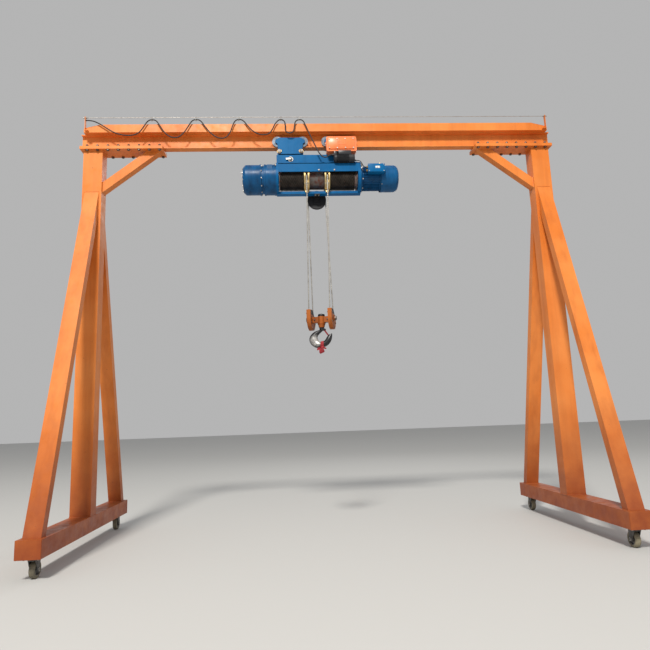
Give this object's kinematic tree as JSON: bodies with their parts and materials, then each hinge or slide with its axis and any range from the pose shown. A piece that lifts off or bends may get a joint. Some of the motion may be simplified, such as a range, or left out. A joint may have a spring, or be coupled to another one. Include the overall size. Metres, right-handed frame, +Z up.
{
  "type": "gantry crane",
  "caption": "Floor-running steel gantry crane on casters: A-shaped side frames, a capped girder, a trolley-hung wire-rope hoist with hook block, and a cable festoon.",
  "frame": {"origin": "floor level, midway between the two side frames and midway along their bottom beams", "axes": "+X to the right along the girder seen from the side where the cable hangs, +Y to the rear, +Z up"},
  "size_m": [5.71, 2.5, 4.902],
  "materials": {
    "frame_paint": "orange gloss enamel, brushed and rolled on, faded",
    "hoist_paint": "blue semi-gloss enamel",
    "wire_rope": "greased steel strands",
    "caster_tyre": "worn solid rubber",
    "zinc_steel": "dull zinc plate",
    "wheel_steel": "bare rolled steel tread",
    "cable_sheath": "matt rubber sheath",
    "greased_steel": "dark greased rope on a cast drum",
    "guide_brass": "dull cast brass",
    "sheave_iron": "black cast iron with grease",
    "hook_steel": "black forged steel, worn bright in places",
    "latch_paint": "dark red",
    "red_cloth": "faded red cotton",
    "black_motor": "black finned casting"
  },
  "bodies": {
    "crane_frame": {"caster_plates": "zinc_steel", "closing_plates": "frame_paint", "festoon_brackets": "frame_paint", "festoon_cable": "cable_sheath", "festoon_wire": "zinc_steel", "girder_beam": "frame_paint", "girder_cap": "frame_paint", "girder_joint_plates": "frame_paint", "knee_braces": "frame_paint", "left_bottom_beam": "frame_paint", "left_legs": "frame_paint", "left_post": "frame_paint", "post_top_plates": "frame_paint", "right_bottom_beam": "frame_paint", "right_legs": "frame_paint", "right_post": "frame_paint"},
    "hoist": {"left_trolley_plates": "hoist_paint", "right_trolley_plates": "hoist_paint", "trolley_tie_bolts": "zinc_steel", "trolley_hangers": "hoist_paint", "travel_gearbox": "frame_paint", "travel_motor": "black_motor", "suspension_frame": "hoist_paint", "hoist_end_plates": "hoist_paint", "hoist_tie_bars": "hoist_paint", "gear_reducer": "hoist_paint", "hoist_motor": "hoist_paint", "motor_fan_cover": "hoist_paint", "terminal_box": "hoist_paint", "motor_lead": "cable_sheath", "rope_guides": "guide_brass", "equaliser_hanger": "hoist_paint", "equaliser_rope": "wire_rope", "drum_falls": "wire_rope", "equaliser_falls": "wire_rope"},
    "drum": {"rope_drum": "greased_steel"},
    "equaliser": {"equaliser_sheave": "sheave_iron"},
    "hook_block": {"sheave_covers": "frame_paint", "crosshead": "frame_paint", "hook_block_rope": "wire_rope"},
    "left_block_sheave": {"left_hook_sheave": "sheave_iron"},
    "right_block_sheave": {"right_hook_sheave": "sheave_iron"},
    "hook_body": {"hook": "hook_steel", "signal_ribbon": "red_cloth"},
    "latch": {"hook_latch": "latch_paint"},
    "left_trolley_left_axle": {"left_trolley_left_wheels": "wheel_steel"},
    "left_trolley_right_axle": {"left_trolley_right_wheels": "wheel_steel"},
    "right_trolley_left_axle": {"right_trolley_left_wheels": "wheel_steel"},
    "right_trolley_right_axle": {"right_trolley_right_wheels": "wheel_steel"},
    "front_left_swivel": {"front_left_caster_fork": "zinc_steel"},
    "front_left_wheel": {"front_left_caster_wheel": "caster_tyre"},
    "front_right_swivel": {"front_right_caster_fork": "zinc_steel"},
    "front_right_wheel": {"front_right_caster_wheel": "caster_tyre"},
    "rear_left_swivel": {"rear_left_caster_fork": "zinc_steel"},
    "rear_left_wheel": {"rear_left_caster_wheel": "caster_tyre"},
    "rear_right_swivel": {"rear_right_caster_fork": "zinc_steel"},
    "rear_right_wheel": {"rear_right_caster_wheel": "caster_tyre"}
  },
  "joints": [
    {"name": "trolley_travel", "type": "slide", "parent": "crane_frame", "child": "hoist", "axis": [1, 0, 0], "range_m": [-1.1, 1.15], "deforming": ["festoon_cable"]},
    {"name": "left_trolley_left_roll", "type": "hinge", "parent": "hoist", "child": "left_trolley_left_axle", "pos_m": [-0.528, 0, 4.602], "axis": [0, 1, 0], "range_deg": [-1165.9, 1218]},
    {"name": "left_trolley_right_roll", "type": "hinge", "parent": "hoist", "child": "left_trolley_right_axle", "pos_m": [-0.228, 0, 4.602], "axis": [0, 1, 0], "range_deg": [-1165.9, 1218]},
    {"name": "right_trolley_left_roll", "type": "hinge", "parent": "hoist", "child": "right_trolley_left_axle", "pos_m": [0.067, 0, 4.602], "axis": [0, 1, 0], "range_deg": [-1165.9, 1218]},
    {"name": "right_trolley_right_roll", "type": "hinge", "parent": "hoist", "child": "right_trolley_right_axle", "pos_m": [0.367, 0, 4.602], "axis": [0, 1, 0], "range_deg": [-1165.9, 1218]},
    {"name": "hook_lift", "type": "slide", "parent": "hoist", "child": "hook_block", "axis": [0, 0, 1], "range_m": [-1.9, 0.95], "deforming": ["drum_falls", "equaliser_falls"]},
    {"name": "drum_spin", "type": "hinge", "parent": "hoist", "child": "drum", "pos_m": [-0.048, 0, 4.137], "axis": [1, 0, 0], "range_deg": [-873.8, 1727.6]},
    {"name": "equaliser_turn", "type": "hinge", "parent": "hoist", "child": "equaliser", "pos_m": [-0.07, 0.104, 3.916], "axis": [0, 1, 0], "continuous": true},
    {"name": "left_block_sheave_turn", "type": "hinge", "parent": "hook_block", "child": "left_block_sheave", "pos_m": [-0.18881, 0.03183, 2.42], "axis": [0.9659, -0.2588, 0], "range_deg": [-515.7, 1011.5]},
    {"name": "right_block_sheave_turn", "type": "hinge", "parent": "hook_block", "child": "right_block_sheave", "pos_m": [0.04881, -0.03183, 2.42], "axis": [0.9659, -0.2588, 0], "range_deg": [-515.7, 1011.5]},
    {"name": "hook_swivel", "type": "hinge", "parent": "hook_block", "child": "hook_body", "pos_m": [-0.07, 0, 2.35], "axis": [0, 0, 1], "continuous": true},
    {"name": "latch_open", "type": "hinge", "parent": "hook_body", "child": "latch", "pos_m": [-0.03523, -0.00932, 2.292], "axis": [0.2588, 0.9659, 0], "range_deg": [0, 45], "stiffness_Nm_per_rad": 0.15, "springref_deg": -45.84},
    {"name": "front_left_caster_swivel", "type": "hinge", "parent": "crane_frame", "child": "front_left_swivel", "pos_m": [-2.7, -1.132, 0.16], "axis": [0, 0, 1], "continuous": true},
    {"name": "front_left_wheel_roll", "type": "hinge", "parent": "front_left_swivel", "child": "front_left_wheel", "pos_m": [-2.7, -1.09, 0.075], "axis": [1, 0, 0], "continuous": true},
    {"name": "front_right_caster_swivel", "type": "hinge", "parent": "crane_frame", "child": "front_right_swivel", "pos_m": [2.7, -1.132, 0.16], "axis": [0, 0, 1], "continuous": true},
    {"name": "front_right_wheel_roll", "type": "hinge", "parent": "front_right_swivel", "child": "front_right_wheel", "pos_m": [2.7, -1.09, 0.075], "axis": [1, 0, 0], "continuous": true},
    {"name": "rear_left_caster_swivel", "type": "hinge", "parent": "crane_frame", "child": "rear_left_swivel", "pos_m": [-2.7, 1.132, 0.16], "axis": [0, 0, 1], "continuous": true},
    {"name": "rear_left_wheel_roll", "type": "hinge", "parent": "rear_left_swivel", "child": "rear_left_wheel", "pos_m": [-2.7, 1.174, 0.075], "axis": [1, 0, 0], "continuous": true},
    {"name": "rear_right_caster_swivel", "type": "hinge", "parent": "crane_frame", "child": "rear_right_swivel", "pos_m": [2.7, 1.132, 0.16], "axis": [0, 0, 1], "continuous": true},
    {"name": "rear_right_wheel_roll", "type": "hinge", "parent": "rear_right_swivel", "child": "rear_right_wheel", "pos_m": [2.7, 1.174, 0.075], "axis": [1, 0, 0], "continuous": true}
  ],
  "couplings": [
    {"joint": "left_trolley_left_roll", "follows": "trolley_travel", "rad_per_m": 18.182},
    {"joint": "left_trolley_right_roll", "follows": "trolley_travel", "rad_per_m": 18.182},
    {"joint": "right_trolley_left_roll", "follows": "trolley_travel", "rad_per_m": 18.182},
    {"joint": "right_trolley_right_roll", "follows": "trolley_travel", "rad_per_m": 18.182},
    {"joint": "drum_spin", "follows": "hook_lift", "rad_per_m": -15.686},
    {"joint": "left_block_sheave_turn", "follows": "hook_lift", "rad_per_m": -9.1075},
    {"joint": "right_block_sheave_turn", "follows": "hook_lift", "rad_per_m": -9.1075}
  ]
}
